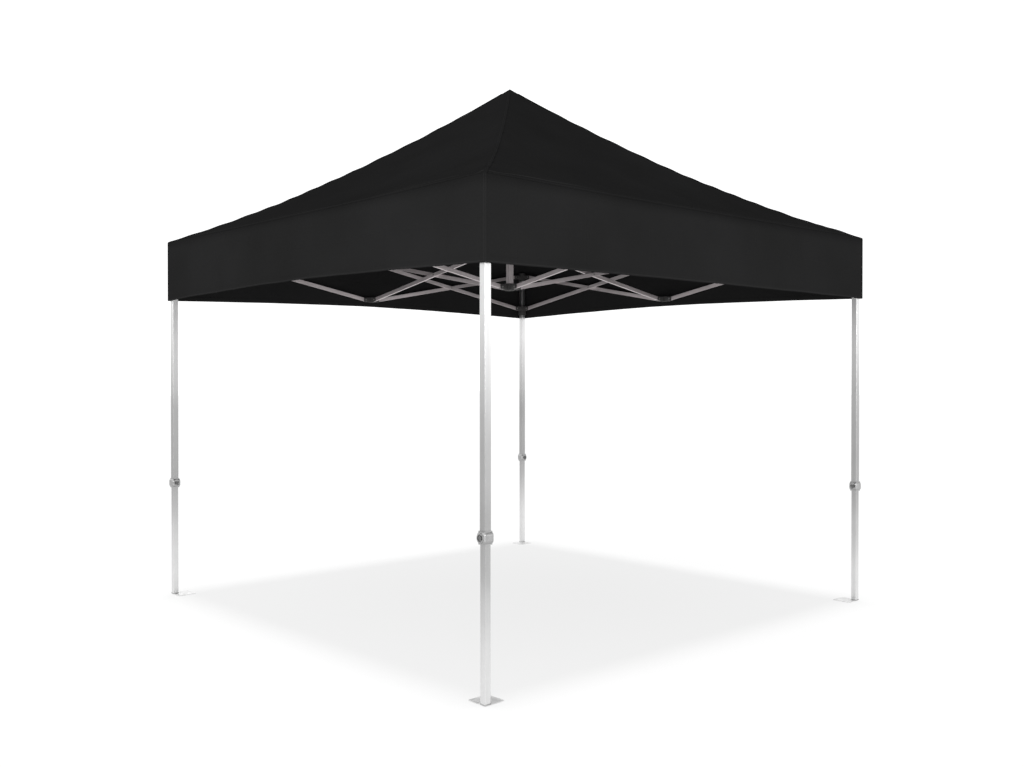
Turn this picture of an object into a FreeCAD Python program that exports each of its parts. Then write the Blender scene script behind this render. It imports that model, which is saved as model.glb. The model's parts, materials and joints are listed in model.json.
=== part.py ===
import FreeCAD, Part
import math
import os
import re
import Sketcher

# Pop-up canopy, open and standing, in millimetres.
# Origin: ground level under the middle of the four legs. X and Y run along the sides, Z is up.
# Corners, anticlockwise from above: front (+X -Y), right (+X +Y), back (-X +Y), left (-X -Y).
# Everything that repeats round the frame is built for the first corner or side
# and turned by a quarter turn for each of the others.

Vector = FreeCAD.Vector
Rotation = FreeCAD.Rotation
UP = Vector(0, 0, 1)

doc = FreeCAD.newDocument("PopUpCanopy")
sheet = doc.addObject("Spreadsheet::Sheet", "Dimensions")

DRIVING = [
    # frame
    ("legSpacing", 2940, "leg axis to leg axis along a side"),
    ("upperPivotLevel", 2143, "ground to the pivots of the leg heads and upper unions"),
    ("trussRise", 252, "upper pivots above lower pivots, open"),
    ("legPivotReach", 70, "leg axis to the pivots beside it"),
    ("unionPivotReach", 50, "middle of a union to its pivots along the side"),
    ("hubPivotReach", 62, "middle of the frame to the pivots of the hubs"),
    # truss bars
    ("barDepth", 25, "bar section, upright"),
    ("barThickness", 12, "bar section, across"),
    ("barWall", 1.2, "bar wall"),
    ("barGap", 2, "between two bars where they cross"),
    ("barOverhang", 14, "bar end past its pivot"),
    ("barRound", 1.5, "bar corner radius"),
    # pivot bolts
    ("boltRadius", 3, "bolt shank"),
    ("boltPlay", 0.1, "bolt in its hole, all round"),
    ("boltHeadRadius", 5.5, "across the corners of head and nut, halved"),
    ("boltHeadHeight", 4, "head and nut"),
    ("washerRadius", 8, "washer between crossing bars"),
    ("washerGap", 0.3, "washer to each bar"),
    # clevis ears of all brackets
    ("earThickness", 4, "ear plate"),
    ("earPlay", 0.4, "bar to ear, each side"),
    ("earHeight", 28, "ear plate, upright"),
    ("earTip", 13, "ear past its pivot"),
    # legs
    ("legWidth", 34, "upper leg tube"),
    ("legWall", 1.2, "upper leg wall"),
    ("legRound", 2.5, "leg corner radius"),
    ("legSeat", 15, "bottom of the upper leg below the middle of its joint"),
    ("legPlay", 0.3, "lower leg in the upper one, each side"),
    ("lowerLegWall", 1.5, "lower leg wall"),
    ("lowerLegRound", 2, "lower leg corner radius"),
    ("legOverlap", 306, "lower leg inside the upper one, legs down"),
    ("lockHoleRadius", 4, "height hole in the lower leg"),
    ("lockHolePitch", 76, "between height holes"),
    ("lockHoleCount", 3, "height holes, upwards from the joint"),
    # foot plate
    ("footSize", 108, "square plate"),
    ("footThickness", 4, "plate"),
    ("footRound", 6, "plate corner radius"),
    ("footHoleRadius", 5.5, "stake hole"),
    ("footHoleInset", 18, "stake hole from the inner edges"),
    # leg joint
    ("jointLevel", 689, "middle of the leg joint"),
    ("jointWall", 11, "joint body round the leg"),
    ("jointHeight", 50, "joint body"),
    ("jointRound", 14, "joint body edges"),
    ("lipWall", 3.5, "lip round the leg, at the joint's top and bottom"),
    ("lipHeight", 3, "lip"),
    ("bossRadius", 21, "round boss of the button"),
    ("bossHeight", 1.9, "boss proud of the joint"),
    ("dishRadius", 16, "dish in the boss"),
    ("dishDepth", 6, "dish"),
    ("buttonRadius", 10, "leg button"),
    ("buttonLength", 3.4, "leg button cap"),
    ("buttonLift", 3.5, "leg button above the floor of its dish"),
    ("stemRadius", 4, "leg button stem"),
    ("stemLength", 6, "leg button stem"),
    # leg head
    ("headWall", 4, "leg head round the leg"),
    ("headDrop", 30, "leg head below the pivots"),
    ("capPlay", 0.5, "leg head to the fabric"),
    # slider
    ("sliderPlay", 0.8, "slider to leg, each side"),
    ("sliderWall", 5, "slider sleeve"),
    ("sliderDrop", 52, "slider below its pivots"),
    ("sliderLift", 26, "slider above its pivots"),
    ("sliderRound", 4, "slider sleeve edges"),
    ("catchRadius", 8, "slider button"),
    ("catchPlay", 0.3, "slider button in its pocket"),
    ("catchDepth", 3, "pocket of the slider button"),
    ("catchProud", 2, "slider button proud of the sleeve"),
    ("catchLift", 2.3, "slider button above the floor of its pocket"),
    # unions and hubs
    ("unionLength", 50, "union core along the side"),
    ("unionHeight", 36, "union core"),
    ("hubWall", 5, "hub core round the mast and its play"),
    ("hubHeight", 44, "hub core"),
    ("hubPlay", 1, "mast in the upper hub, each side"),
    # mast and peak pole
    ("mastWidth", 32, "mast tube"),
    ("mastWall", 2, "mast wall"),
    ("mastLift", 322, "top of the mast above the upper pivots"),
    ("polePlay", 1, "peak pole in the mast, each side"),
    ("poleWall", 1.5, "peak pole wall"),
    ("poleLift", 22, "bottom of the peak pole above the upper pivots"),
    ("capOver", 2, "peak cap past the pole, all round"),
    ("capTip", 3, "top of the peak cap, radius"),
    ("capHeight", 24, "peak cap"),
    # fabric
    ("roofMargin", 9, "leg head to the eave, sideways"),
    ("eaveRise", 32, "eave above the upper pivots"),
    ("peakRise", 920, "peak above the eave"),
    ("roofSag", 75, "sag of the roof midway between eave and peak"),
    ("fabricThickness", 1.5, "coated polyester with its seams"),
    ("valanceDrop", 360, "eave to the valance hem at the corners"),
    ("hemLift", 26, "hem at mid side above the hem at the corners"),
]

for row, (alias, value, meaning) in enumerate(DRIVING, 1):
    sheet.set("A%d" % row, meaning)
    sheet.set("B%d" % row, str(value))
    sheet.setAlias("B%d" % row, alias)
doc.recompute()

ALIASES = {alias for alias, value, meaning in DRIVING}

# Sizes that follow from the driving ones, because one piece fits in, on or round another.
FOLLOWING = {
    "barShift": "(barThickness + barGap) / 2",  # middle of a bar off the middle plane of its truss
    "legEnd": "jointLevel - legSeat",
    "lowerLegWidth": "legWidth - 2 * legWall - 2 * legPlay",
    "lowerLegTop": "legEnd + legOverlap",
    "jointWidth": "legWidth + 2 * jointWall",
    "lipWidth": "legWidth + 2 * lipWall",
    "hubCore": "mastWidth + 2 * hubPlay + 2 * hubWall",
    "mastTop": "upperPivotLevel + mastLift",
    "poleWidth": "mastWidth - 2 * mastWall - 2 * polePlay",
    "poleFoot": "upperPivotLevel + poleLift",
    "capRadius": "poleWidth / 2 + capOver",
    "roofHalf": "legSpacing / 2 + legWidth / 2 + headWall + roofMargin",
    "eaveLevel": "upperPivotLevel + eaveRise",
    "peakLevel": "eaveLevel + peakRise",
    "hemLevel": "eaveLevel - valanceDrop",
}


def bound(text):
    """An expression on the sheet, from the same expression on bare names of sizes."""
    def cell(match):
        word = match.group()
        if word in FOLLOWING:
            return "(" + bound(FOLLOWING[word]) + ")"
        return "Dimensions." + word if word in ALIASES else word
    return re.sub(r"[A-Za-z]\w*", cell, text)


def size(name):
    return float(sheet.get(name)) if name in ALIASES else value(name)


# Lengths that several pieces share, as expressions on the sheet.
SPAN = "(legSpacing / 2 - legPivotReach - unionPivotReach)"
BAR_REACH = "sqrt(%s ^ 2 + trussRise ^ 2)" % SPAN
UNION_INNER = "(legPivotReach + unionPivotReach - hubPivotReach)"
LOWER_LEVEL = "(upperPivotLevel - trussRise)"
HOLE_RADIUS = "(boltRadius + boltPlay)"
HALF_FORK = "(barThickness / 2 + earPlay)"
SLIDER_HALF = "(legWidth / 2 + sliderPlay + sliderWall)"

CORNERS = ["front", "right", "back", "left"]
SIDES = ["front_right", "back_right", "back_left", "front_left"]
BUTTON_FACES = {"front": -90, "right": -90, "back": 0, "left": 0}

subParts = []


def quarter(turn):
    return FreeCAD.Placement(Vector(), Rotation(UP, 90 * turn))


def keep(item, label, placement=None):
    """Name an object as a sub-part of the canopy and put it in its place."""
    item.Label = label
    if placement is not None:
        item.Placement = placement
    subParts.append(item)
    return item


# ---------------------------------------------------------------- primitives

def block(name, sizes, corner):
    item = doc.addObject("Part::Box", name)
    for side, text in zip(("Length", "Width", "Height"), sizes):
        item.setExpression(side, bound(text))
    for axis, text in zip("xyz", corner):
        item.setExpression("Placement.Base." + axis, bound(text))
    return item


def rod(name, radius, length, start, axis=UP):
    item = doc.addObject("Part::Cylinder", name)
    item.Placement = FreeCAD.Placement(Vector(), Rotation(UP, axis))
    item.setExpression("Radius", bound(radius))
    item.setExpression("Height", bound(length))
    for letter, text in zip("xyz", start):
        item.setExpression("Placement.Base." + letter, bound(text))
    return item


def hexagon(name, start, axis):
    item = doc.addObject("Part::Prism", name)
    item.Polygon = 6
    item.Placement = FreeCAD.Placement(Vector(), Rotation(UP, axis))
    item.setExpression("Circumradius", bound("boltHeadRadius"))
    item.setExpression("Height", bound("boltHeadHeight"))
    for letter, text in zip("xyz", start):
        item.setExpression("Placement.Base." + letter, bound(text))
    return item


def fuse(name, items):
    item = doc.addObject("Part::MultiFuse", name)
    item.Shapes = items
    item.Refine = True
    return item


def cut(name, base, tools):
    item = doc.addObject("Part::Cut", name)
    item.Base = base
    item.Tool = tools[0] if len(tools) == 1 else fuse(name + "Tools", tools)
    return item


def group(name, items):
    item = doc.addObject("Part::Compound", name)
    item.Links = items
    return item


def point(axis, along, across, level):
    """Expressions for a point given along and across a truss that runs in axis X or Y."""
    return (along, across, level) if axis == "x" else (across, along, level)


def bolt(name, axis, start, length, washer=None):
    """Shank from start over length, with its head and nut outside both ends.

    axis is the unit vector of the shank. washer is the length of a collar at mid shank.
    """
    letter = "xyz"[max(range(3), key=lambda index: abs(axis[index]))]
    place = dict(zip("xyz", start))

    def shifted(text):
        moved = dict(place)
        moved[letter] = "%s + %s" % (place[letter], text)
        return tuple(moved[each] for each in "xyz")

    items = [
        rod(name + "Shank", "boltRadius", length, start, axis),
        hexagon(name + "Head", shifted("0 - boltHeadHeight"), axis),
        hexagon(name + "Nut", shifted(length), axis),
    ]
    if washer:
        begin = shifted("(%s - %s) / 2" % (length, washer))
        items.append(rod(name + "Washer", "washerRadius", washer, begin, axis))
    return fuse(name, items)


# ------------------------------------------------------------ sketched bodies

def originPlane(body, role):
    return next(item for item in body.Origin.OriginFeatures if item.Role == role)


def newSketch(body, plane, name, level="0"):
    sketch = body.newObject("Sketcher::SketchObject", name)
    sketch.AttachmentSupport = [(originPlane(body, plane), "")]
    sketch.MapMode = "FlatFace"
    sketch.setExpression("AttachmentOffset.Base.z", bound(level))
    return sketch


def limit(sketch, constraint, text):
    index = sketch.addConstraint(constraint)
    sketch.setExpression("Constraints[%d]" % index, bound(text))


def value(text):
    """The present value of an expression on bare aliases."""
    scratch.setExpression("Length", bound(text))
    scratch.recompute()
    return scratch.Length.Value


def rectangle(sketch, width, height, centre=None):
    """A rectangle about the sketch's origin, or about a centre given by two expressions."""
    w, h = value(width), value(height)
    x, y = (value(centre[0]), value(centre[1])) if centre else (0, 0)
    corners = [(-w / 2, -h / 2), (w / 2, -h / 2), (w / 2, h / 2), (-w / 2, h / 2)]
    corners = [Vector(x + a, y + b, 0) for a, b in corners]
    first = sketch.GeometryCount
    for index in range(4):
        sketch.addGeometry(Part.LineSegment(corners[index], corners[(index + 1) % 4]), False)
    for index in range(4):
        joined = (first + index, 2, first + (index + 1) % 4, 1)
        sketch.addConstraint(Sketcher.Constraint("Coincident", *joined))
        direction = "Vertical" if index % 2 else "Horizontal"
        sketch.addConstraint(Sketcher.Constraint(direction, first + index))
    limit(sketch, Sketcher.Constraint("DistanceX", first, 1, first, 2, w), width)
    limit(sketch, Sketcher.Constraint("DistanceY", first + 1, 1, first + 1, 2, h), height)
    if centre:
        low = ("%s - %s / 2" % (centre[0], width), "%s - %s / 2" % (centre[1], height))
        limit(sketch, Sketcher.Constraint("DistanceX", -1, 1, first, 1, x - w / 2), low[0])
        limit(sketch, Sketcher.Constraint("DistanceY", -1, 1, first, 1, y - h / 2), low[1])
    else:
        sketch.addConstraint(Sketcher.Constraint("Symmetric", first, 1, first + 2, 1, -1, 1))


def circle(sketch, radius, x, y):
    at = Vector(value(x), value(y), 0)
    index = sketch.addGeometry(Part.Circle(at, UP, value(radius)), False)
    limit(sketch, Sketcher.Constraint("Radius", index, value(radius)), radius)
    for kind, text, place in (("DistanceX", x, at.x), ("DistanceY", y, at.y)):
        if place:
            limit(sketch, Sketcher.Constraint(kind, -1, 1, index, 3, place), text)
        else:
            axis = -2 if kind == "DistanceX" else -1
            sketch.addConstraint(Sketcher.Constraint("PointOnObject", index, 3, axis))


def pad(body, sketch, length, symmetric=False):
    feature = body.newObject("PartDesign::Pad", sketch.Name + "Pad")
    feature.Profile = sketch
    feature.setExpression("Length", bound(length))
    feature.SideType = "Symmetric" if symmetric else "One side"
    sketch.Visibility = False
    return feature


def pocketThrough(body, sketch):
    feature = body.newObject("PartDesign::Pocket", sketch.Name + "Pocket")
    feature.Profile = sketch
    feature.Type = "ThroughAll"
    feature.SideType = "Symmetric"
    return feature


def roundEdges(body, base, radius, wanted):
    """Fillet the straight edges of a feature that a test on (edge, direction) picks."""
    doc.recompute()
    names = []
    for index, edge in enumerate(base.Shape.Edges, 1):
        if edge.Curve.TypeId == "Part::GeomLine" and wanted(edge, edge.Curve.Direction):
            names.append("Edge%d" % index)
    feature = body.newObject("PartDesign::Fillet", base.Name + "Fillet")
    feature.Base = (base, names)
    feature.setExpression("Radius", bound(radius))
    return feature


def upright(half):
    """Test for the upright edges at the outer corners of a square of the given half width."""
    def wanted(edge, direction):
        reach = max(abs(edge.Vertexes[0].X), abs(edge.Vertexes[0].Y))
        return abs(direction.z) > 0.99 and abs(reach - half) < 0.01
    return wanted


scratch = doc.addObject("Part::Box", "Scratch")


def squareTube(name, width, wall, bottom, top, corner):
    """An upright square tube about its own axis."""
    body = doc.addObject("PartDesign::Body", name)
    section = newSketch(body, "XY_Plane", name + "Section", bottom)
    rectangle(section, width, width)
    inner = "%s - 2 * %s" % (width, wall)
    rectangle(section, inner, inner)
    tube = pad(body, section, "%s - %s" % (top, bottom))
    roundEdges(body, tube, corner, upright(value(width) / 2))
    return body


# --------------------------------------------------------------- truss bars

def bar(label, high, low, across):
    """A rectangular tube from its high pivot to its low one, with holes for three bolts.

    across is the direction of the bolts.
    """
    body = doc.addObject("PartDesign::Body", label)
    section = newSketch(body, "YZ_Plane", label + "_section")
    rectangle(section, "barThickness", "barDepth")
    rectangle(section, "barThickness - 2 * barWall", "barDepth - 2 * barWall")
    tube = pad(body, section, "%s + 2 * barOverhang" % BAR_REACH, True)
    holes = newSketch(body, "XZ_Plane", label + "_holes")
    for place in ("0 - %s / 2", "0 * %s", "%s / 2"):
        circle(holes, HOLE_RADIUS, place % BAR_REACH, "0")
    drilled = pocketThrough(body, holes)
    half = size("barThickness") / 2

    def longEdge(edge, direction):
        return abs(direction.x) > 0.99 and abs(abs(edge.Vertexes[0].Y) - half) < 0.01

    roundEdges(body, drilled, "barRound", longEdge)
    along = (low - high).normalize()
    turned = Rotation(along, across, along.cross(across), "XYZ")
    return body, FreeCAD.Placement((high + low) / 2, turned)


def crossBolt(name):
    """The bolt where two bars cross, along Y at the origin, with a washer between them."""
    length = "2 * (barShift + barThickness / 2)"
    washer = "2 * (barShift - barThickness / 2 - washerGap)"
    start = ("0", "0 - %s / 2" % length, "0")
    return bolt(name, Vector(0, 1, 0), start, length, washer)


def trussBars():
    """Six bars for each quarter: two crossed pairs in the side, one pair from side to hub."""
    half = size("legSpacing") / 2
    upper = size("upperPivotLevel")
    lower = value(LOWER_LEVEL)
    shift = size("barShift")
    legPivot = half - size("legPivotReach")
    unionPivot = size("unionPivotReach")
    hubPivot = size("hubPivotReach")
    innerPivot = half - value(UNION_INNER)
    outward, along = Vector(1, 0, 0), Vector(0, 1, 0)
    for turn, side in enumerate(SIDES):
        # each row: label, is it the high bar, high pivot, low pivot, direction of its bolts
        rows = []
        for hand, corner in ((-1, CORNERS[turn]), (1, CORNERS[(turn + 1) % 4])):
            high = [Vector(half + shift, hand * legPivot, upper),
                    Vector(half + shift, hand * unionPivot, lower)]
            low = [Vector(half - shift, hand * unionPivot, upper),
                   Vector(half - shift, hand * legPivot, lower)]
            rows.append(("bar_%s_high_at_%s" % (side, corner), True, high, outward))
            rows.append(("bar_%s_low_at_%s" % (side, corner), False, low, outward))
        high = [Vector(hubPivot, shift, upper), Vector(innerPivot, shift, lower)]
        low = [Vector(innerPivot, -shift, upper), Vector(hubPivot, -shift, lower)]
        rows.append(("bar_inner_%s_high" % side, True, high, along))
        rows.append(("bar_inner_%s_low" % side, False, low, along))
        for label, isHigh, (top, bottom), across in rows:
            tube, place = bar(label + "_tube" if isHigh else label, top, bottom, across)
            if not isHigh:
                keep(tube, label, quarter(turn) * place)
                continue
            pin = crossBolt(label + "_bolt")
            tube.Placement = place
            middle = (top + bottom) / 2 - across * shift
            pin.Placement = FreeCAD.Placement(middle, Rotation(Vector(0, 1, 0), across))
            keep(group(label + "_parts", [tube, pin]), label, quarter(turn))


# ------------------------------------------------------------------ brackets

def earPair(name, axis, start, end, middle, level):
    """Two ear plates along axis from start to end, one each side of a bar at middle."""
    plates = []
    low = "%s - earHeight / 2" % level
    for hand, corner in (("A", "%s - %s - earThickness" % (middle, HALF_FORK)),
                         ("B", "%s + %s" % (middle, HALF_FORK))):
        run = "%s - (%s)" % (end, start)
        sizes = (run, "earThickness", "earHeight")
        if axis == "y":
            sizes = ("earThickness", run, "earHeight")
        plates.append(block(name + hand, sizes, point(axis, start, corner, low)))
    return plates


def earDrill(name, axis, along, middle, level):
    """A drill through both ears of a pair, at a pivot."""
    reach = "(%s + earThickness + 1)" % HALF_FORK
    across = Vector(0, 1, 0) if axis == "x" else Vector(1, 0, 0)
    start = point(axis, along, "%s - %s" % (middle, reach), level)
    return rod(name, HOLE_RADIUS, "2 * " + reach, start, across)


def earBolt(name, axis, along, middle, level):
    """The pivot bolt through a pair of ears."""
    reach = "(%s + earThickness)" % HALF_FORK
    across = Vector(0, 1, 0) if axis == "x" else Vector(1, 0, 0)
    start = point(axis, along, "%s - %s" % (middle, reach), level)
    return bolt(name, across, start, "2 * " + reach)


# Corner brackets are built for the front corner, with the leg axis at the origin:
# one pair of ears runs in +Y and one in -X. The outside of the frame is +X and -Y.
CORNER_ARMS = (("y", 1, 1), ("x", -1, -1))


def cornerEars(name, level, shiftSign, root):
    """Ears, drills and bolts of a corner bracket, from root out past the pivots."""
    ears, drills, bolts = [], [], []
    for axis, heading, outward in CORNER_ARMS:
        middle = "%d * barShift" % (shiftSign * outward)
        ends = ("%s" % root, "legPivotReach + earTip")
        if heading < 0:
            ends = ("0 - (legPivotReach + earTip)", "0 - (%s)" % root)
        pivot = "%d * legPivotReach" % heading
        ears += earPair(name + "Ear" + axis, axis, ends[0], ends[1], middle, level)
        drills.append(earDrill(name + "Drill" + axis, axis, pivot, middle, level))
        bolts.append(earBolt(name + "Bolt" + axis, axis, pivot, middle, level))
    return ears, drills, bolts


def atCorner(turn):
    half = size("legSpacing") / 2
    return quarter(turn) * FreeCAD.Placement(Vector(half, -half, 0), Rotation())


def roofLevel(reach):
    """Top of the roof at a distance from its middle, as an expression."""
    share = "(%s / roofHalf)" % reach
    rise = "(peakLevel - eaveLevel) * (1 - %s)" % share
    return "(eaveLevel + %s - 4 * roofSag * %s * (1 - %s))" % (rise, share, share)


HEAD_HALF = "(legWidth / 2 + headWall)"
HEAD_TOP = "(%s - fabricThickness - capPlay)" % roofLevel("(legSpacing / 2 + %s)" % HEAD_HALF)
LEG_TOP = "(%s - headWall)" % HEAD_TOP


def legHead(turn, corner):
    """The cap on top of a leg, with two pairs of ears for the high bars."""
    name = "LegHead" + corner
    bottom = "(upperPivotLevel - headDrop)"
    width = "2 * " + HEAD_HALF
    shell = block(name + "Shell", (width, width, "%s - %s" % (HEAD_TOP, bottom)),
                  ("0 - " + HEAD_HALF, "0 - " + HEAD_HALF, bottom))
    socket = block(name + "Socket", ("legWidth", "legWidth", "%s - %s + 1" % (LEG_TOP, bottom)),
                   ("0 - legWidth / 2", "0 - legWidth / 2", "%s - 1" % bottom))
    ears, drills, bolts = cornerEars(name, "upperPivotLevel", 1, "legWidth / 2 + 1")
    bracket = cut(name + "Bracket", fuse(name + "Solid", [shell] + ears), [socket] + drills)
    keep(group(name, [bracket] + bolts), "leg_head_" + corner, atCorner(turn))


def slider(turn, corner):
    """The sleeve that runs on a leg, with two pairs of ears for the low bars."""
    name = "Slider" + corner
    body = doc.addObject("PartDesign::Body", name + "Sleeve")
    section = newSketch(body, "XY_Plane", name + "Section", "%s - sliderDrop" % LOWER_LEVEL)
    inner = "(legWidth + 2 * sliderPlay)"
    rectangle(section, "2 * " + SLIDER_HALF, "2 * " + SLIDER_HALF)
    rectangle(section, inner, inner)
    tube = pad(body, section, "sliderDrop + sliderLift")
    roundEdges(body, tube, "sliderRound", upright(value(SLIDER_HALF)))
    pocket = rod(name + "Pocket", "catchRadius + catchPlay", "catchDepth + 1",
                 ("%s - catchDepth" % SLIDER_HALF, "0", LOWER_LEVEL), Vector(1, 0, 0))
    ears, drills, bolts = cornerEars(name, LOWER_LEVEL, -1, "legWidth / 2 + sliderPlay + 1")
    bracket = cut(name + "Bracket", fuse(name + "Solid", [body] + ears), drills + [pocket])
    keep(group(name, [bracket] + bolts), "slider_" + corner, atCorner(turn))
    button = rod(name + "Button", "catchRadius", "catchDepth + catchProud - catchLift",
                 ("%s - catchDepth + catchLift" % SLIDER_HALF, "0", LOWER_LEVEL), Vector(1, 0, 0))
    keep(group(name + "Catch", [button]), "slider_button_" + corner, atCorner(turn))


def union(turn, side, level, shiftSign, label):
    """The joint at mid side: ears both ways along the side and a pair inwards.

    Built at X = 0, Y = 0 for the side on +X, so inwards is -X.
    """
    name = label.title().replace("_", "")
    middle = "%d * barShift" % shiftSign
    reach = "(unionPivotReach + earTip)"
    half = "(%s + earThickness)" % HALF_FORK
    core = block(name + "Core", ("2 * " + half, "unionLength", "unionHeight"),
                 ("%s - %s" % (middle, half), "0 - unionLength / 2", "%s - unionHeight / 2" % level))
    ears = earPair(name + "Long", "y", "0 - " + reach, reach, middle, level)
    inner = "(0 - %s - earTip)" % UNION_INNER
    ears += earPair(name + "Inner", "x", inner, "%s - %s" % (middle, HALF_FORK), middle, level)
    drills, bolts = [], []
    pivots = [("y", "unionPivotReach"), ("y", "0 - unionPivotReach"), ("x", "0 - " + UNION_INNER)]
    for index, (axis, pivot) in enumerate(pivots):
        drills.append(earDrill("%sDrill%d" % (name, index), axis, pivot, middle, level))
        bolts.append(earBolt("%sBolt%d" % (name, index), axis, pivot, middle, level))
    bracket = cut(name + "Bracket", fuse(name + "Solid", [core] + ears), drills)
    place = quarter(turn) * FreeCAD.Placement(Vector(size("legSpacing") / 2, 0, 0), Rotation())
    keep(group(name, [bracket] + bolts), label, place)


def hub(label, level, shiftSign, bore, extras):
    """A centre hub with four pairs of ears round a square core.

    bore is the side of the square hole through the core.
    """
    name = label.title().replace("_", "")
    core = block(name + "Core", ("hubCore", "hubCore", "hubHeight"),
                 ("0 - hubCore / 2", "0 - hubCore / 2", "%s - hubHeight / 2" % level))
    hole = block(name + "Hole", (bore, bore, "hubHeight + 2"),
                 ("0 - %s / 2" % bore, "0 - %s / 2" % bore, "%s - hubHeight / 2 - 1" % level))
    root = "hubCore / 2 - 1"
    ears, drills, bolts = [], [], []
    for turn, (axis, heading) in enumerate((("x", 1), ("y", 1), ("x", -1), ("y", -1))):
        # seen outwards along each arm, the bars of one hub lie to the same hand
        hand = shiftSign * (1 if turn in (0, 3) else -1)
        middle = "%d * barShift" % hand
        ends = (root, "hubPivotReach + earTip")
        if heading < 0:
            ends = ("0 - (hubPivotReach + earTip)", "0 - (%s)" % root)
        pivot = "%d * hubPivotReach" % heading
        tag = "%s%d" % (name, turn)
        ears += earPair(tag + "Ear", axis, ends[0], ends[1], middle, level)
        drills.append(earDrill(tag + "Drill", axis, pivot, middle, level))
        bolts.append(earBolt(tag + "Bolt", axis, pivot, middle, level))
    bracket = cut(name + "Bracket", fuse(name + "Solid", [core] + ears), [hole] + drills)
    keep(group(name, [bracket] + bolts + extras), label)


# ---------------------------------------------------------------------- legs

def legJoint(name):
    """The moulded joint at the bottom of an upper leg, with its boss on +X."""
    body = doc.addObject("PartDesign::Body", name + "Body")
    section = newSketch(body, "XY_Plane", name + "Section", "jointLevel - jointHeight / 2")
    rectangle(section, "jointWidth", "jointWidth")
    solid = pad(body, section, "jointHeight")
    roundEdges(body, solid, "jointRound", lambda edge, direction: True)
    lips = block(name + "Lips", ("lipWidth", "lipWidth", "jointHeight + 2 * lipHeight"),
                 ("0 - lipWidth / 2", "0 - lipWidth / 2", "jointLevel - jointHeight / 2 - lipHeight"))
    boss = rod(name + "Boss", "bossRadius", "bossHeight + jointRound",
               ("jointWidth / 2 - jointRound", "0", "jointLevel"), Vector(1, 0, 0))
    dish = rod(name + "Dish", "dishRadius", "dishDepth + 1",
               ("jointWidth / 2 + bossHeight - dishDepth", "0", "jointLevel"), Vector(1, 0, 0))
    bore = rod(name + "Bore", "stemRadius + boltPlay", "jointWidth / 2",
               ("legWidth / 2 - 1", "0", "jointLevel"), Vector(1, 0, 0))
    upper = block(name + "Upper", ("legWidth", "legWidth", "jointHeight + lipHeight"),
                  ("0 - legWidth / 2", "0 - legWidth / 2", "legEnd"))
    clear = "(legWidth - 2 * legWall)"
    lower = block(name + "Lower", (clear, clear, "jointHeight + 2 * lipHeight"),
                  ("0 - %s / 2" % clear, "0 - %s / 2" % clear,
                   "jointLevel - jointHeight / 2 - 2 * lipHeight"))
    return cut(name, fuse(name + "Solid", [body, lips, boss]), [dish, bore, upper, lower])


def faceTurn(corner):
    return FreeCAD.Placement(Vector(), Rotation(UP, BUTTON_FACES[corner]))


def legPlace(turn, corner):
    """Leg axis of a corner, with the local +X axis towards the face that has the button."""
    half = size("legSpacing") / 2
    spot = quarter(turn).multVec(Vector(half, -half, 0))
    return FreeCAD.Placement(spot, Rotation()) * faceTurn(corner)


def leg(turn, corner):
    """Upper leg with its joint, lower leg with its foot, and the button."""
    name = "Leg" + corner
    tube = squareTube(name + "Tube", "legWidth", "legWall", "legEnd", LEG_TOP, "legRound")
    joint = legJoint(name + "Joint")
    keep(group(name, [tube, joint]), "leg_upper_" + corner, legPlace(turn, corner))

    floor = "(jointWidth / 2 + bossHeight - dishDepth)"
    cap = rod(name + "Cap", "buttonRadius", "buttonLength",
              ("%s + buttonLift" % floor, "0", "jointLevel"), Vector(1, 0, 0))
    stem = rod(name + "Stem", "stemRadius", "stemLength",
               ("%s + buttonLift - stemLength" % floor, "0", "jointLevel"), Vector(1, 0, 0))
    keep(fuse(name + "Button", [cap, stem]), "leg_button_" + corner, legPlace(turn, corner))

    lower = squareTube(name + "Inner", "lowerLegWidth", "lowerLegWall", "footThickness",
                       "lowerLegTop", "lowerLegRound")
    holes = newSketch(lower, "YZ_Plane", name + "Holes")
    for index in range(int(size("lockHoleCount"))):
        circle(holes, "lockHoleRadius", "0", "jointLevel + %d * lockHolePitch" % index)
    pocketThrough(lower, holes)
    lower.Placement = faceTurn(corner)
    # The plate reaches from the leg's outer faces towards the middle of the frame.
    plate = doc.addObject("PartDesign::Body", name + "Foot")
    outline = newSketch(plate, "XY_Plane", name + "FootOutline")
    inward = "((footSize - lowerLegWidth) / 2)"
    corners = {"front": (-1, 1), "right": (-1, -1), "back": (1, -1), "left": (1, 1)}
    towardsX, towardsY = corners[corner]
    centre = ("%d * %s" % (towardsX, inward), "%d * %s" % (towardsY, inward))
    rectangle(outline, "footSize", "footSize", centre)
    reach = "(footSize - lowerLegWidth / 2 - footHoleInset)"
    circle(outline, "footHoleRadius", "%d * %s" % (towardsX, reach), "%d * %s" % (towardsY, reach))
    flat = pad(plate, outline, "footThickness")
    roundEdges(plate, flat, "footRound", lambda edge, direction: abs(direction.z) > 0.99)
    half = size("legSpacing") / 2
    spot = quarter(turn).multVec(Vector(half, -half, 0))
    keep(group(name + "Lower", [lower, plate]), "leg_lower_" + corner,
         FreeCAD.Placement(spot, Rotation()))


# ------------------------------------------------------------ mast and fabric

def peakPole():
    """The inner pole of the mast, with the conical cap that carries the peak of the roof."""
    tip = "(%s - fabricThickness - capPlay)" % roofLevel("capTip")
    shoulder = "(%s - capHeight)" % tip
    pole = squareTube("PeakPoleTube", "poleWidth", "poleWall", "poleFoot", shoulder, "barRound")
    cap = doc.addObject("Part::Cone", "PeakCap")
    for side, text in (("Radius1", "capRadius"), ("Radius2", "capTip"), ("Height", "capHeight"),
                       ("Placement.Base.z", shoulder)):
        cap.setExpression(side, bound(text))
    keep(group("PeakPole", [pole, cap]), "peak_pole")


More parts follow.
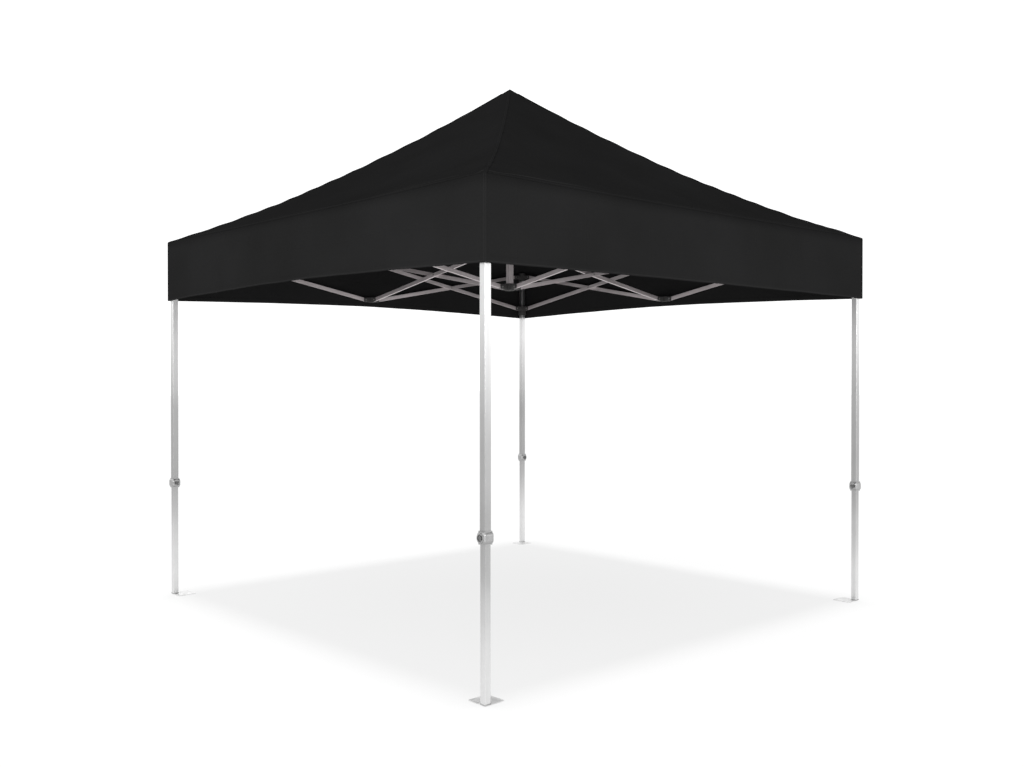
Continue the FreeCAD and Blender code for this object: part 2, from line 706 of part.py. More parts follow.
def roofSector(turn):
    """A quarter of the roof: a sagging strip along the eave, cut off at the two hips."""
    reach, drop = size("roofHalf"), size("fabricThickness")
    peak, eave = size("peakLevel"), size("eaveLevel")
    control = (peak + eave) / 2 - 2 * size("roofSag")

    def curve(lower):
        poles = [Vector(0, 0, peak - lower), Vector(reach / 2, 0, control - lower),
                 Vector(reach, 0, eave - lower)]
        line = Part.BezierCurve()
        line.setPoles(poles)
        return line.toShape(), poles[0], poles[-1]

    top, topPeak, topEave = curve(0)
    bottom, bottomPeak, bottomEave = curve(drop)
    edges = [top, Part.makeLine(topEave, bottomEave), bottom, Part.makeLine(bottomPeak, topPeak)]
    section = Part.Face(Part.Wire(Part.__sortEdges__(edges)))
    section.translate(Vector(0, -2 * reach, 0))
    strip = section.extrude(Vector(0, 4 * reach, 0))
    far = 2 * reach
    wedge = Part.makePolygon([Vector(0, 0, 0), Vector(far, -far, 0), Vector(far, far, 0),
                              Vector(0, 0, 0)])
    prism = Part.Face(wedge).extrude(Vector(0, 0, 2 * peak))
    sector = doc.addObject("Part::Feature", "RoofSector%d" % turn)
    sector.Shape = strip.common(prism)
    sector.Placement = quarter(turn)
    return sector


def valance(turn):
    """The hanging panel of one side, with a hem that rises towards mid side."""
    reach, drop = size("roofHalf"), size("fabricThickness")
    top = size("eaveLevel") - drop
    hem, lift = size("hemLevel"), size("hemLift")
    near, far = -reach, reach - drop
    ends = [Vector(reach, near, hem), Vector(reach, far, hem)]
    tops = [Vector(reach, far, top), Vector(reach, near, top)]
    line = Part.BezierCurve()
    line.setPoles([ends[0], Vector(reach, 0, hem + 2 * lift), ends[1]])
    edges = [line.toShape(), Part.makeLine(ends[1], tops[0]), Part.makeLine(*tops),
             Part.makeLine(tops[1], ends[0])]
    panel = doc.addObject("Part::Feature", "Valance%d" % turn)
    panel.Shape = Part.Face(Part.Wire(edges)).extrude(Vector(-drop, 0, 0))
    panel.Placement = quarter(turn)
    return panel


# ----------------------------------------------------------------- the whole

trussBars()
for turn, corner in enumerate(CORNERS):
    leg(turn, corner)
    legHead(turn, corner)
    slider(turn, corner)
for turn, side in enumerate(SIDES):
    union(turn, side, "upperPivotLevel", -1, "union_upper_" + side)
    union(turn, side, LOWER_LEVEL, 1, "union_lower_" + side)
mast = squareTube("MastTube", "mastWidth", "mastWall", LOWER_LEVEL, "mastTop", "barRound")
hub("hub_upper", "upperPivotLevel", 1, "(mastWidth + 2 * hubPlay)", [])
hub("hub_lower", LOWER_LEVEL, -1, "mastWidth", [mast])
peakPole()
fabric = [roofSector(turn) for turn in range(4)] + [valance(turn) for turn in range(4)]
keep(group("Fabric", fabric), "canopy_fabric")
doc.removeObject("Scratch")
doc.recompute()

for item in doc.Objects:
    if "Invalid" in item.State or "Error" in item.State:
        raise RuntimeError("%s did not build: %s" % (item.Label, item.State))
labels = [item.Label for item in subParts]
if len(set(labels)) != len(labels):
    raise RuntimeError("two sub-parts share a label")
for item in subParts:
    if item.Shape.isNull() or not item.Shape.isValid():
        raise RuntimeError("%s has no valid shape" % item.Label)
    for solid in item.Shape.Solids:
        if solid.Volume <= 0:
            raise RuntimeError("%s has an empty solid" % item.Label)

os.makedirs("parts", exist_ok=True)
for item in subParts:
    item.Shape.exportStep("parts/%s.step" % item.Label)
print("%d sub-parts written" % len(subParts))
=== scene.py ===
import bpy
import json
import math
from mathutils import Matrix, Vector, noise

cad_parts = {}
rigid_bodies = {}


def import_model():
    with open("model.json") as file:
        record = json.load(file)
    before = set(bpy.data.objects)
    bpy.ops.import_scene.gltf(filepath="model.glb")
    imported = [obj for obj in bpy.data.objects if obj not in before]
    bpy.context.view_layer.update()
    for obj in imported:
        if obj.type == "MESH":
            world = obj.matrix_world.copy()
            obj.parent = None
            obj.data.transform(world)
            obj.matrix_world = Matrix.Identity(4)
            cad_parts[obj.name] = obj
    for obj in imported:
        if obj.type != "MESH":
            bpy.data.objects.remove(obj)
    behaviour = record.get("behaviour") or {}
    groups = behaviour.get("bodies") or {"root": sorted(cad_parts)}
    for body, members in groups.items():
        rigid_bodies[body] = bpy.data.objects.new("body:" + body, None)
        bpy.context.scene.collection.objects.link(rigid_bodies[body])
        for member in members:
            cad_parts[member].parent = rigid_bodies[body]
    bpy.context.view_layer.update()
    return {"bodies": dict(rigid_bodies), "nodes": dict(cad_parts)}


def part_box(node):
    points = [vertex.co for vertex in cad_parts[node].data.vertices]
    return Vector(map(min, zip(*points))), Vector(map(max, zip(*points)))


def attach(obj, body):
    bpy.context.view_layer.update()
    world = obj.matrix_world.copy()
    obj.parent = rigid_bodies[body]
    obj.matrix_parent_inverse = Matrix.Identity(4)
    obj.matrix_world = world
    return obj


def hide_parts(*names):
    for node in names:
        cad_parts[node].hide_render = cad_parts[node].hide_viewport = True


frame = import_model()
nodes = frame["nodes"]
bodies = frame["bodies"]
print("frame loaded:", len(nodes), "parts")

# corners anticlockwise from above, with the signs of their X and Y
corners = {"front": (1, -1), "right": (1, 1), "back": (-1, 1), "left": (-1, -1)}
# the sides between them: the way out, and the way along
sides = {
    "front_right": (Vector((1, 0, 0)), Vector((0, 1, 0))),
    "back_right": (Vector((0, 1, 0)), Vector((-1, 0, 0))),
    "back_left": (Vector((-1, 0, 0)), Vector((0, -1, 0))),
    "front_left": (Vector((0, -1, 0)), Vector((1, 0, 0))),
}
sideNames = list(sides)

shot = {
    "place": (4.682, -4.251, 1.357),
    "heading": 137.64,  # degrees from +X
    "tilt": -0.48,
    "lens": 36.44,
    "sensor": 36,
    "clip": (0.05, 200),
}


def addCamera():
    heading, tilt = math.radians(shot["heading"]), math.radians(shot["tilt"])
    toward = Vector((
        math.cos(heading) * math.cos(tilt),
        math.sin(heading) * math.cos(tilt),
        math.sin(tilt),
    ))
    camera = bpy.data.objects.new("camera", bpy.data.cameras.new("camera"))
    bpy.context.scene.collection.objects.link(camera)
    camera.location = shot["place"]
    camera.rotation_mode = "QUATERNION"
    camera.rotation_quaternion = toward.to_track_quat("-Z", "Y")
    camera.data.lens = shot["lens"]
    camera.data.sensor_width = shot["sensor"]
    camera.data.clip_start, camera.data.clip_end = shot["clip"]
    bpy.context.scene.camera = camera


addCamera()
print("camera set")


class Shade:
    # a shader socket that can stand in a sum
    def __init__(self, paint, socket):
        self.paint, self.socket = paint, socket

    def maths(self, operation, *values):
        return self.paint.make("ShaderNodeMath", {"operation": operation}, list(values))

    def __add__(self, other):
        return self.maths("ADD", self, other)

    def __radd__(self, other):
        return self.maths("ADD", other, self)

    def __sub__(self, other):
        return self.maths("SUBTRACT", self, other)

    def __rsub__(self, other):
        return self.maths("SUBTRACT", other, self)

    def __mul__(self, other):
        return self.maths("MULTIPLY", self, other)

    def __rmul__(self, other):
        return self.maths("MULTIPLY", other, self)

    def __abs__(self):
        return self.maths("ABSOLUTE", self)

    def sine(self):
        return self.maths("SINE", self)

    def zigzag(self, half):  # up and down between 0 and half
        return self.maths("PINGPONG", self, half)

    def step(self, low, high):  # 0 below low, 1 above high, soft between
        return self.paint.make(
            "ShaderNodeMapRange",
            {"interpolation_type": "SMOOTHSTEP"},
            {"Value": self, "From Min": low, "From Max": high},
        )


class Paint:
    # one material, made as nodes
    def __init__(self, name, **fixed):
        self.material = bpy.data.materials.new(name)
        self.material.use_nodes = True
        self.tree = self.material.node_tree
        self.surface = next(n for n in self.tree.nodes if n.type == "BSDF_PRINCIPLED")
        for socket, value in fixed.items():
            self.surface.inputs[socket.replace("_", " ")].default_value = value

    def make(self, kind, settings=(), sockets=(), output=0):
        node = self.tree.nodes.new(kind)
        for name, value in dict(settings).items():
            setattr(node, name, value)
        pairs = sockets.items() if isinstance(sockets, dict) else enumerate(sockets)
        for key, value in pairs:
            socket = node.inputs[key]
            if isinstance(value, Shade):
                self.tree.links.new(value.socket, socket)
            else:
                socket.default_value = value
        return Shade(self, node.outputs[output])

    def place(self, scale=(1, 1, 1), uv=None):
        if uv:
            spot = self.make("ShaderNodeUVMap", {"uv_map": uv})
        else:
            spot = self.make("ShaderNodeTexCoord", output="Object")
        return self.make("ShaderNodeMapping", {}, {"Vector": spot, "Scale": scale})

    def grain(self, place, scale, detail=2.0, rough=0.5):
        return self.make(
            "ShaderNodeTexNoise", {},
            {"Vector": place, "Scale": scale, "Detail": detail, "Roughness": rough},
        )

    def parts(self, place):
        split = self.make("ShaderNodeSeparateXYZ", {}, {"Vector": place})
        outs = split.socket.node.outputs
        return [Shade(self, outs[i]) for i in range(3)]

    def mix(self, factor, first, second):
        return self.make(
            "ShaderNodeMix", {"data_type": "RGBA"},
            {0: factor, 6: first, 7: second}, output=2,
        )

    def bump(self, height, strength, distance, under=None):
        sockets = {"Height": height, "Strength": strength, "Distance": distance}
        if under:
            sockets["Normal"] = under
        return self.make("ShaderNodeBump", {}, sockets)

    def finish(self, **varying):
        for socket, value in varying.items():
            self.tree.links.new(value.socket, self.surface.inputs[socket.replace("_", " ")])
        return self.material


class Sky(Paint):
    # the same expressions for the studio's surroundings
    def __init__(self, tree):
        self.tree = tree

    def dot(self, way, along):
        return self.make(
            "ShaderNodeVectorMath", {"operation": "DOT_PRODUCT"}, {0: way, 1: along},
            output="Value",
        )


def grey(level, tint=(1, 1, 1)):
    return tuple(level * part for part in tint) + (1,)


fabric = {
    "black": 0.0092,
    "slub": 0.0122,
    "slubTint": (1, 1, 1.02),
    "valance": 1.5,  # painted light: the hanging panels are painted lighter than the roof, for the light that falls on them from the front
    "paintedLightTop": (2.115, 2.195),  # heights between which that painted light fades out, going up
    "weave": 0.0016,  # metres between yarns
    "yarnHighlight": 0.22,  # painted highlight: how much lighter the yarns' crowns are painted, with painted shade in the hollows between
    "dullness": 0.84,
    "creaseGap": 0.43,  # metres between the lines that packing leaves
    "crease": 0.007,
    "wander": 0.07,
    "thread": 0.03,
    "stitch": 0.005,  # metres from stitch to stitch
    "threadRow": (0.55, 0.62, 0.69),  # shares of the strip's half width, from its edge
}


def weaveHeight(paint):
    across, along, _ = paint.parts(paint.place(uv="cloth"))
    pitch = 2 * math.pi / fabric["weave"]
    return (across * pitch).sine() * (along * pitch).sine(), across, along


def stitchRows(lengthwise, crosswise):
    # a row of thread near each edge; the map holds metres along the strip, and -1 to 1 across
    start, middle, end = fabric["threadRow"]
    off = abs(abs(crosswise) - 1)
    row = off.step(start, middle) * (1 - off.step(middle, end))
    return row * (lengthwise * (2 * math.pi / fabric["stitch"])).sine().step(-0.5, 0.0)


def packingCreases(paint, across, along):
    # faint straight lines where the cloth lay folded in its bag
    drift = paint.grain(paint.place((1.2, 1.2, 1), "cloth"), scale=1.5) * fabric["wander"]
    lines = []
    for way in (across, along):
        off = (way + drift).zigzag(fabric["creaseGap"] / 2)
        lines.append(1 - off.step(0.0, fabric["crease"]))
    return lines[0] + lines[1]


def fabricPaint(name, stitched=False):
    paint = Paint(name, Specular_IOR_Level=0.0)
    spot = paint.place()
    weave, across, along = weaveHeight(paint)
    slub = paint.grain(paint.place((90, 14, 1), "cloth"), scale=6.0, detail=3.0)
    fade = paint.grain(spot, scale=1.3, detail=3.0, rough=0.6)
    shade = paint.mix(
        (slub * 0.4 + fade * 0.6).step(0.3, 0.75),
        grey(fabric["black"]), grey(fabric["slub"], fabric["slubTint"]),
    )
    # painted light: below the eave the cloth is painted lighter, and the yarn crowns lighter
    # than the hollows between them
    height = paint.parts(spot)[2]
    paintedLightScale = 1 + (1 - height.step(*fabric["paintedLightTop"])) * (fabric["valance"] - 1)
    paintedLightScale = paintedLightScale * (1 + weave * fabric["yarnHighlight"])
    shade = paint.make(
        "ShaderNodeVectorMath", {"operation": "SCALE"}, {"Vector": shade, "Scale": paintedLightScale}
    )
    relief = paint.bump(weave, strength=0.12, distance=0.0004)
    if stitched:
        thread = stitchRows(across, along)
        shade = paint.mix(thread, shade, grey(fabric["thread"]))
        relief = paint.bump(thread, strength=0.6, distance=0.0006, under=relief)
    else:
        creases = packingCreases(paint, across, along)
        rumple = paint.grain(spot, scale=5.5, detail=4.0, rough=0.62)
        relief = paint.bump(creases, strength=0.4, distance=0.0015, under=relief)
        relief = paint.bump(rumple, strength=0.35, distance=0.006, under=relief)
    dullnessOrPaintedReflection = fabric["dullness"] + paint.grain(spot, scale=9.0, detail=4.0) * 0.14
    return paint.finish(Base_Color=shade, Roughness=dullnessOrPaintedReflection, Normal=relief)


# tubes: grey where clean and where cloudy, and the axis they lie along
legTube = {
    "clean": 0.80, "cloudy": 0.68, "tint": (1, 1, 1), "roughness": 0.34, "metallic": 1.0,
    "axis": 2,
    "paintedReflection": 0.48,  # painted reflection: how much darker the tubes are painted half way up, for the dark surroundings they reflect there
    "paintedReflectionStart": (0.1, 0.75), "paintedReflectionEnd": (1.0, 1.75),  # heights where that comes and goes
}
barTube = {
    "clean": 0.64, "cloudy": 0.47, "tint": (1.06, 0.97, 0.985), "roughness": 0.42,
    "metallic": 0.7, "axis": 0, "paintedReflection": 0,
}


def drawnOut(axis, across, along):
    scale = [across] * 3
    scale[axis] = along
    return tuple(scale)


def drawnMetal(name, tube):
    # extruded aluminium: fine lines along the tube, cloudy anodising, scuffs and rubbed
    # streaks; on the legs, a painted dark reflection band half way up
    paint = Paint(name, Metallic=tube["metallic"])
    axis, cloudy, tint = tube["axis"], tube["cloudy"], tube["tint"]
    lines = paint.grain(paint.place(drawnOut(axis, 520, 3)), scale=1.0)
    cloud = paint.grain(paint.place(), scale=5.0, detail=3.0, rough=0.55)
    scuff = paint.grain(paint.place((60, 60, 9)), scale=3.0, detail=5.0, rough=0.7)
    scuff = scuff.step(0.66, 0.78)
    rubbed = paint.place(drawnOut(axis, 170, 0.8))
    streaks = paint.grain(rubbed, scale=1.0, detail=3.0, rough=0.6).step(0.52, 0.7)
    tone = (lines * 0.35 + cloud * 0.65).step(0.25, 0.8)
    colour = paint.mix(tone, grey(cloudy, tint), grey(tube["clean"], tint))
    colour = paint.mix(scuff * 0.35 + streaks * 0.22, colour, grey(cloudy * 0.8, tint))
    # painted reflection: the colour is darkened half way up, standing in for the dark
    # surroundings the legs reflect there
    if tube["paintedReflection"]:
        level = paint.parts(paint.place())[2]
        paintedReflectionPatch = paint.grain(paint.place((2, 2, 1.3)), scale=1.0) * 0.3
        dullnessOrPaintedReflection = level.step(*tube["paintedReflectionStart"]) * (1 - level.step(*tube["paintedReflectionEnd"]))
        colour = paint.mix(dullnessOrPaintedReflection * (tube["paintedReflection"] - 0.15 + paintedReflectionPatch), colour, grey(0.0))
    rough = tube["roughness"] - 0.05 + lines * 0.08 + cloud * 0.06 + scuff * 0.12
    return paint.finish(
        Base_Color=colour, Roughness=rough + streaks * 0.06,
        Normal=paint.bump(lines, strength=0.16, distance=0.0003),
    )


# moulded and cast skins; texture and depth are the scale and strength of their fine grain
footPlate = {
    "grey": 0.70, "tint": (1, 1, 1), "roughness": 0.42, "metallic": 0.8,
    "texture": 500.0, "depth": 0.05,
}
legJoint = {
    "grey": 0.50, "tint": (1.0, 0.985, 0.98), "roughness": 0.36, "metallic": 0.75,
    "texture": 900.0, "depth": 0.06,
}
bracket = {
    "grey": 0.055, "tint": (1.03, 1.0, 0.99), "roughness": 0.5, "metallic": 0.0,
    "texture": 1400.0, "depth": 0.12,
}
button = {
    "grey": 0.10, "tint": (1, 1, 1), "roughness": 0.42, "metallic": 0.0,
    "texture": 1400.0, "depth": 0.12,
}
weldBead = {
    "grey": 0.42, "tint": (1, 1, 1), "roughness": 0.45, "metallic": 0.9,
    "texture": 600.0, "depth": 0.2,
}


def mouldedPaint(name, skin):
    # fine texture, slight flow marks, rubbed patches
    paint = Paint(name, Metallic=skin["metallic"], Specular_IOR_Level=0.45)
    level, tint = skin["grey"], skin["tint"]
    spot = paint.place()
    fine = paint.grain(spot, scale=skin["texture"])
    flow = paint.grain(spot, scale=28.0, detail=3.0, rough=0.6)
    rub = paint.grain(spot, scale=70.0, detail=4.0, rough=0.65).step(0.6, 0.8)
    colour = paint.mix(
        flow.step(0.3, 0.7), grey(level * 0.85, tint), grey(level * 1.12, tint)
    )
    colour = paint.mix(rub * 0.4, colour, grey(min(1, level * 1.5), tint))
    relief = paint.bump(fine, strength=skin["depth"], distance=0.0003)
    relief = paint.bump(flow, strength=0.08, distance=0.001, under=relief)
    return paint.finish(
        Base_Color=colour, Roughness=skin["roughness"] - 0.05 + flow * 0.1 - rub * 0.08,
        Normal=relief,
    )


zinc = {"stain": 0.30, "stainTint": (1.0, 0.99, 0.96), "bright": 0.48, "roughness": 0.28}


def boltPaint(name):
    # zinc-plated steel, turned and slightly dulled
    paint = Paint(name, Metallic=1.0)
    spot = paint.place()
    plating = paint.grain(spot, scale=220.0, detail=4.0, rough=0.7)
    stain = paint.grain(spot, scale=40.0, detail=3.0)
    colour = paint.mix(
        stain.step(0.35, 0.7), grey(zinc["stain"], zinc["stainTint"]), grey(zinc["bright"])
    )
    return paint.finish(
        Base_Color=colour, Roughness=zinc["roughness"] + plating * 0.2,
        Normal=paint.bump(plating, strength=0.08, distance=0.0002),
    )


finishes = {
    "cloth": fabricPaint("black_polyester"),
    "seam": fabricPaint("stitched_polyester", stitched=True),
    "leg": drawnMetal("leg_aluminium", legTube),
    "plate": mouldedPaint("foot_plate_zinc", footPlate),
    "barX": drawnMetal("bar_aluminium_x", barTube),
    "barY": drawnMetal("bar_aluminium_y", {**barTube, "axis": 1}),
    "mast": drawnMetal("mast_aluminium", {**barTube, "axis": 2, "roughness": 0.4}),
    "joint": mouldedPaint("joint_casting", legJoint),
    "bracket": mouldedPaint("bracket_nylon", bracket),
    "button": mouldedPaint("button_nylon", button),
    "bolt": boltPaint("bolt_zinc"),
    "weld": mouldedPaint("weld_bead", weldBead),
}
print("finishes made")


def solidsOf(mesh):
    # groups of faces that touch, by their corners' places
    spots, owner = {}, []

    def root(i):
        while owner[i] != i:
            owner[i] = owner[owner[i]]
            i = owner[i]
        return i

    ids = []
    for vertex in mesh.vertices:
        key = tuple(round(c * 1e5) for c in vertex.co)
        if key not in spots:
            spots[key] = len(owner)
            owner.append(len(owner))
        ids.append(spots[key])
    for face in mesh.polygons:
        first = root(ids[face.vertices[0]])
        for v in face.vertices[1:]:
            owner[root(ids[v])] = first
    groups = {}
    for face in mesh.polygons:
        groups.setdefault(root(ids[face.vertices[0]]), []).append(face)
    return list(groups.values())


def extent(mesh, faces):
    spots = [mesh.vertices[v].co for face in faces for v in face.vertices]
    return [max(co[k] for co in spots) - min(co[k] for co in spots) for k in range(3)]


# a node's solids are told apart by their middle and longest measures
sorting = {
    "bolt": (0.0175, 0.06),  # bolts and washers are under both
    "tube": (0.13, 0.2),  # tubes are under the first and over the second
}


def dress(name, main, bolts="bolt", tubes=None):
    # main finish for the node, another for its bolts, and another for its long tubes
    mesh = nodes[name].data
    mesh.materials.clear()
    for each in [main, bolts] + ([tubes] if tubes else []):
        mesh.materials.append(finishes[each])
    for faces in solidsOf(mesh):
        _, middle, longest = sorted(extent(mesh, faces))
        index = 0
        if middle < sorting["bolt"][0] and longest < sorting["bolt"][1]:
            index = 1
        elif tubes and middle < sorting["tube"][0] and longest > sorting["tube"][1]:
            index = 2
        for face in faces:
            face.material_index = index


for name in nodes:
    if name == "canopy_fabric":
        continue
    if name.startswith("bar_"):
        low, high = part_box(name)
        dress(name, "barX" if high.x - low.x > high.y - low.y else "barY")
    elif name.startswith("leg_upper_"):
        dress(name, "joint", tubes="leg")
    elif name.startswith("leg_lower_"):
        dress(name, "plate", tubes="leg")
    elif name in ("hub_lower", "peak_pole"):
        dress(name, "bracket", tubes="mast")
    elif "button" in name:
        dress(name, "button", bolts="button")
    else:
        dress(name, "bracket")
print("frame parts finished")

# the roof and the valance are one sheet: q is the way down it from the peak, and v the way
# across a panel, from -1 at one hip to 1 at the next
cover = {
    "half": 1.5,
    "eave": 2.175,
    "peak": 3.095,
    "sag": 0.30,
    "drop": 0.36,
    "thickness": 0.0015,
    "softEdge": 0.055,  # half length of the rounded eave at mid side
    "crispEdge": 0.004,  # and at the corners
    "turnWidth": 0.012,  # the corner is turned over this width
    "turnDepth": 0.0024,
    "rings": 78,
    "lastRing": 1.44,
    "eaveRings": (1.455, 1.468, 1.480, 1.490, 1.496, 1.5),
    "underEave": (1.504, 1.510, 1.520, 1.532, 1.545, 1.560),
    "valanceRings": 15,
}
hemRing = cover["half"] + cover["drop"]
hangStart = cover["underEave"][-1]
roofRings = [
    cover["lastRing"] * (k + 1) / cover["rings"] for k in range(cover["rings"])
] + list(cover["eaveRings"])
hangRings = list(cover["underEave"]) + [
    hangStart + (hemRing - hangStart) * (k + 1) / cover["valanceRings"]
    for k in range(cover["valanceRings"])
]
ringCount = len(roofRings)


def smooth(low, high, value):
    t = min(1, max(0, (value - low) / (high - low)))
    return t * t * (3 - 2 * t)


def bell(value, width):
    return math.exp(-((value / width) ** 2))


def roofLevel(reach):
    t = reach / cover["half"]
    rise = cover["peak"] - cover["eave"]
    return cover["eave"] + rise * (1 - t) - cover["sag"] * t * (1 - t)


def spread(u):
    # nodes crowd a little towards the hips
    return math.copysign(abs(u) * (1.15 - 0.15 * u ** 4), u)


def cornerOf(side, v):
    n, l = sides[side]
    p = n + l * (1 if v > 0 else -1)
    return next(name for name, (x, y) in corners.items() if x * p.x > 0 and y * p.y > 0)


# unevenness of the roof, in metres; each pair of reaches is where it has grown and faded
roof = {
    "dish": 0.020,  # panels below the line between their hips
    "pulls": {  # folds out from each corner, over the leg head: how many, how high
        "front": (13, 0.0062), "right": (11, 0.0044), "back": (12, 0.0040),
        "left": (15, 0.0046),
    },
    "pullCentre": 1.49,
    "pullReach": (0.10, 0.55),
    "fan": (9, 0.0022),  # folds that fan from the peak: how many to half a panel, how high
    "fanReach": (0.08, 0.42),
    "pucker": 0.0018,  # along the hip seams
    "frontPucker": 1.8,  # times as much at the front
    "puckerPitch": 0.105,
    "puckerReach": 0.05,
    "swells": ((1.9, 0.006, 3.7), (6.5, 0.0022, 8.2)),  # pace, height, seed
    "peakEnd": 0.3,  # puckers and swells are whole from here on
    "calm": (1.40, 1.49),  # all of it fades between these
}


def cornerPulls(side, v, x, y):
    count, height = roof["pulls"][cornerOf(side, v)]
    centre, (start, end) = roof["pullCentre"], roof["pullReach"]
    nearer, farther = sorted((abs(x), abs(y)))
    reach = Vector((centre - nearer, centre - farther)).length
    turn = abs(math.atan2(centre - nearer, centre - farther) - math.pi / 4)
    near = bell(reach, end) * (1 - bell(reach, start))
    return height * near * math.sin(count * turn) * (1 + 0.4 * v)


def peakFan(side, q, v):
    (count, height), (start, end) = roof["fan"], roof["fanReach"]
    fan = bell(q, end) * (1 - bell(q, start)) * (1 - v * v)
    return height * fan * math.sin(count * v + sideNames.index(side))


def hipPucker(side, q, v):
    off = q * (1 - abs(v)) * 0.707  # square to the hip
    turn = 2 * math.pi * q / roof["puckerPitch"] + 1.7 * math.sin(q * 7)
    height = roof["pucker"] * (roof["frontPucker"] if cornerOf(side, v) == "front" else 1)
    grown = smooth(roof["peakEnd"] / 3, roof["peakEnd"], q)
    return height * grown * math.sin(turn) * math.exp(-off / roof["puckerReach"])


def roofWave(side, q, v, x, y):
    t = q / cover["half"]
    lift = -roof["dish"] * (1 - v * v) * 4 * t * (1 - t)
    lift += cornerPulls(side, v, x, y) + peakFan(side, q, v) + hipPucker(side, q, v)
    for pace, height, seed in roof["swells"]:
        swell = noise.noise(Vector((x * pace, y * pace, seed)))
        lift += height * swell * smooth(0, roof["peakEnd"], q)
    return lift * (1 - smooth(*roof["calm"], q))


# folds pulled tight from a corner: side, which end, q there, q at the far end, reach, height
tucks = [
    ("front_right", -1, 1.395, 1.450, 0.66, 0.0075),
    ("front_right", -1, 1.330, 1.415, 0.42, 0.0055),
    ("front_right", -1, 1.080, 1.180, 0.26, 0.0070),
    ("front_left", 1, 1.360, 1.330, 0.20, 0.0065),
    ("front_left", 1, 1.270, 1.230, 0.15, 0.0055),
    ("front_right", 1, 1.350, 1.250, 0.30, 0.0050),
    ("back_right", -1, 1.380, 1.300, 0.35, 0.0055),
    ("back_right", 1, 1.240, 1.330, 0.28, 0.0050),
    ("back_left", -1, 1.330, 1.400, 0.40, 0.0060),
    ("back_left", 1, 1.390, 1.290, 0.30, 0.0050),
    ("front_left", -1, 1.340, 1.420, 0.36, 0.0055),
]
tuckShape = {"width": 0.024, "grown": 0.15, "fading": 0.5, "calm": (1.455, 1.49)}


def tuckLift(side, q, v):
    lift = 0
    for name, end, start, finish, length, height in tucks:
        share = (1 - v * end) / length
        if name == side and share < 1:
            off = q - start - (finish - start) * share
            ends = smooth(0, tuckShape["grown"], share)
            ends *= 1 - smooth(tuckShape["fading"], 1, share)
            lift += height * bell(off, tuckShape["width"]) * ends
    return lift * (1 - smooth(*tuckShape["calm"], q))


valance = {
    "waves": ((9.3, 1.9, 1.0), (15.7, 2.3, 0.6), (27, 1.0, 0.35)),  # pace, start, share
    "wave": 0.0042,
    "flutter": 0.003,
    "flutterPace": (4, 7),
    "belly": -0.004,
    "grown": 0.1,  # metres below the eave
    "hemLift": {
        "front_right": 0.005, "back_right": 0.030, "back_left": 0.030, "front_left": 0.026,
    },
}


def hangWave(side, down, v):
    l = v * cover["half"]
    k = sideNames.index(side)
    share = down / cover["drop"]
    wave = sum(part * math.sin(l * pace + start * k) for pace, start, part in valance["waves"])
    along, below = valance["flutterPace"]
    flutter = valance["flutter"] * noise.noise(Vector((l * along, down * below, 2.1 * k)))
    loose = valance["wave"] * share * wave + flutter
    belly = valance["belly"] * math.sin(math.pi * share)
    return (loose * (1 - v ** 6) + belly * (1 - v ** 2)) * smooth(0, valance["grown"], down)


def section(q, v):
    # how far out and how high the sheet is, before its unevenness
    half, eave = cover["half"], cover["eave"]
    bend = cover["crispEdge"] + cover["softEdge"] * (1 - abs(v) ** 3)
    gap = q - half
    if abs(gap) < bend:
        k = (gap + bend) / (2 * bend)
        first, middle, last = (1 - k) ** 2, 2 * k * (1 - k), k * k
        r = first * (half - bend) + (middle + last) * half
        z = first * roofLevel(half - bend) + middle * eave + last * (eave - bend)
        return r, z
    return (q, roofLevel(q)) if gap < 0 else (half, eave - gap)


def clothPoint(side, q, v, rise=0.0):
    n, l = sides[side]
    r, z = section(q, v)
    flat = n * r + l * (v * r)
    gap = q - cover["half"]
    if gap < 0:
        z += roofWave(side, q, v, flat.x, flat.y) + tuckLift(side, q, v)
    else:
        z += valance["hemLift"][side] * gap / cover["drop"] * (1 - abs(v) ** 1.6)
        flat = flat + n * hangWave(side, gap, v)
    # the corner itself is turned over
    edge = min(1, max(0, 1 - (1 - abs(v)) * cover["half"] / cover["turnWidth"]))
    if edge and q > roof["peakEnd"]:
        sign = 1 if v > 0 else -1
        inward = cover["turnDepth"] * edge * edge * smooth(1.3, 1.5, q)
        flat = flat - (n + l * sign) * inward
    point = Vector((flat.x, flat.y, z))
    if rise:
        point = point + clothNormal(side, q, v) * rise
    return point


def clothNormal(side, q, v):
    e = 0.004
    lowV, highV = max(-1, v - e), min(1, v + e)
    along = clothPoint(side, q + e, v) - clothPoint(side, max(0.001, q - e), v)
    across = clothPoint(side, q, highV) - clothPoint(side, q, lowV)
    return along.cross(across).normalized()


def makeMesh(name, points, faces, uvs, finish):
    mesh = bpy.data.meshes.new(name)
    mesh.from_pydata([tuple(p) for p in points], [], faces)
    layer = mesh.uv_layers.new(name="cloth")
    for loop, spot in enumerate(spot for face in uvs for spot in face):
        layer.data[loop].uv = spot
    mesh.materials.append(finishes[finish])
    piece = bpy.data.objects.new(name, mesh)
    bpy.context.scene.collection.objects.link(piece)
    mesh.shade_smooth()
    return piece


def giveWall(piece, thickness):
    bpy.ops.object.select_all(action="DESELECT")
    bpy.context.view_layer.objects.active = piece
    piece.select_set(True)
    wall = piece.modifiers.new("wall", "SOLIDIFY")
    wall.thickness, wall.offset = thickness, -1
    bpy.ops.object.modifier_apply(modifier=wall.name)


def sideOf(i, j):
    if abs(i) >= abs(j):
        return ("front_right", j) if i > 0 else ("back_left", -j)
    return ("back_right", -i) if j > 0 else ("front_left", i)


def gridPoint(i, j, q):
    # where the grid's node i, j lies when its ring is at q
    side, across = sideOf(i, j)
    return clothPoint(side, q, spread(across / max(abs(i), abs(j))))


